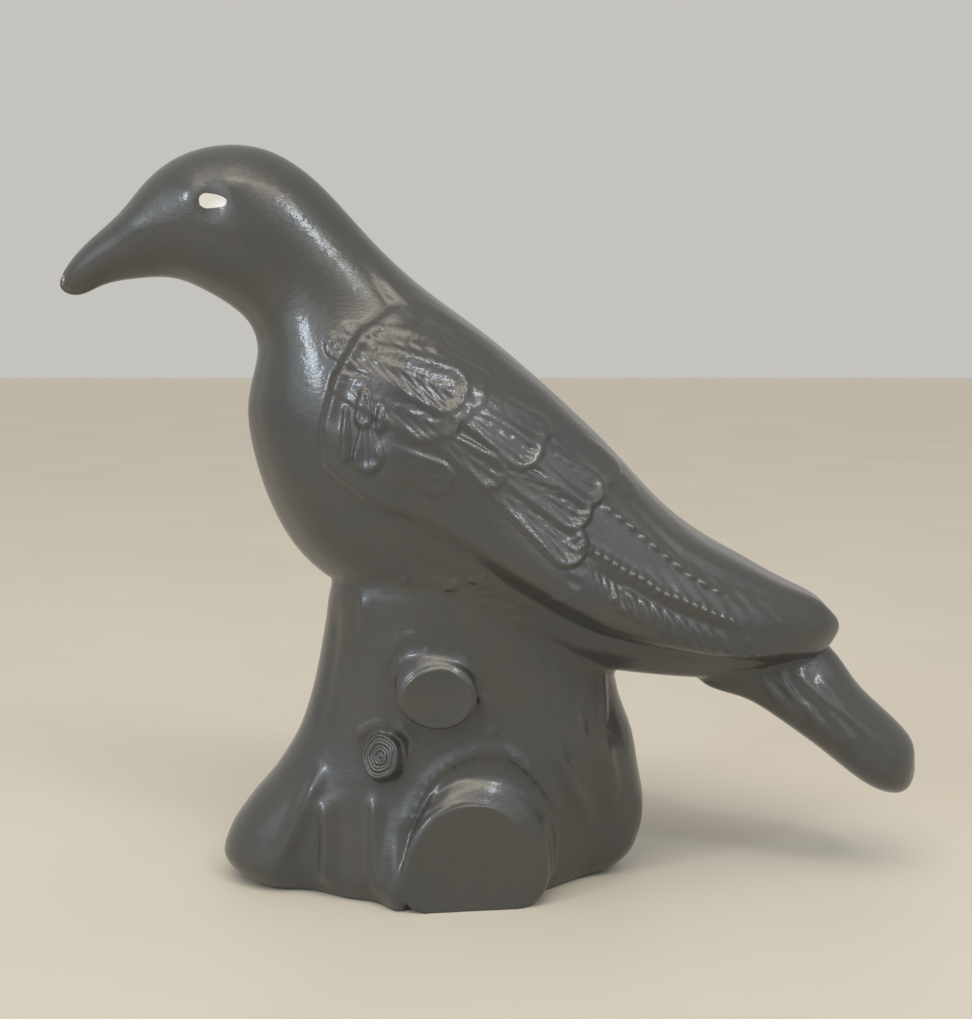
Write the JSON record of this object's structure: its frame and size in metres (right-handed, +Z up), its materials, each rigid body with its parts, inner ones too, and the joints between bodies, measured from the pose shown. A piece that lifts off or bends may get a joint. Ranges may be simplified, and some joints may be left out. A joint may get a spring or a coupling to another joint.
{
  "type": "ceramic raven figurine",
  "caption": "Slip-cast ceramic raven perched on a tree stump with a knot, a broken branch and a sawn log end, painted dark grey with white eyes.",
  "frame": {"origin": "in the flat underside of the stump, below the bird's breast and thighs, on the bird's middle plane", "axes": "+Z up, -X towards the beak, +X towards the tail, -Y towards the bird's left side"},
  "size_m": [0.3174, 0.0926, 0.2715],
  "materials": {
    "painted_ceramic": "brushed dark grey-brown paint with a satin gloss on earthenware, white paint on the eyes"
  },
  "bodies": {
    "root": {"raven_figurine": "painted_ceramic"}
  },
  "joints": []
}
